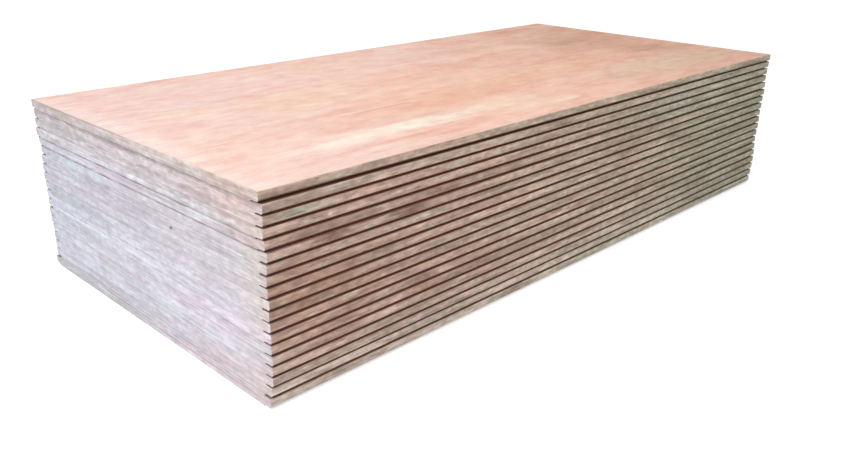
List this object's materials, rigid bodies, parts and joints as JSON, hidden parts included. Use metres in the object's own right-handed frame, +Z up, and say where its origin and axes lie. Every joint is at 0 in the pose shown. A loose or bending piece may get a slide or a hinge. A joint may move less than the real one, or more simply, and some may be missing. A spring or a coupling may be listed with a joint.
{
  "type": "stack of plywood sheets",
  "caption": "Low stack of thick plywood floor sheets laid flat and slightly out of line, with a shallow rebate under both long edges of every sheet.",
  "frame": {"origin": "middle of the pile's footprint, on the floor under the lowest sheet", "axes": "+X along the sheets' long edges, which is also the grain of the face veneer, +Y across them, +Z up"},
  "size_m": [2.4113, 1.1816, 0.532],
  "materials": {
    "plywood": "bare veneer, unfinished"
  },
  "bodies": {
    "root": {"sheet_01": "plywood", "sheet_02": "plywood", "sheet_03": "plywood", "sheet_04": "plywood", "sheet_05": "plywood", "sheet_06": "plywood", "sheet_07": "plywood", "sheet_08": "plywood", "sheet_09": "plywood", "sheet_10": "plywood", "sheet_11": "plywood", "sheet_12": "plywood", "sheet_13": "plywood", "sheet_14": "plywood", "sheet_15": "plywood", "sheet_16": "plywood", "sheet_17": "plywood", "sheet_18": "plywood", "sheet_19": "plywood"}
  },
  "joints": []
}
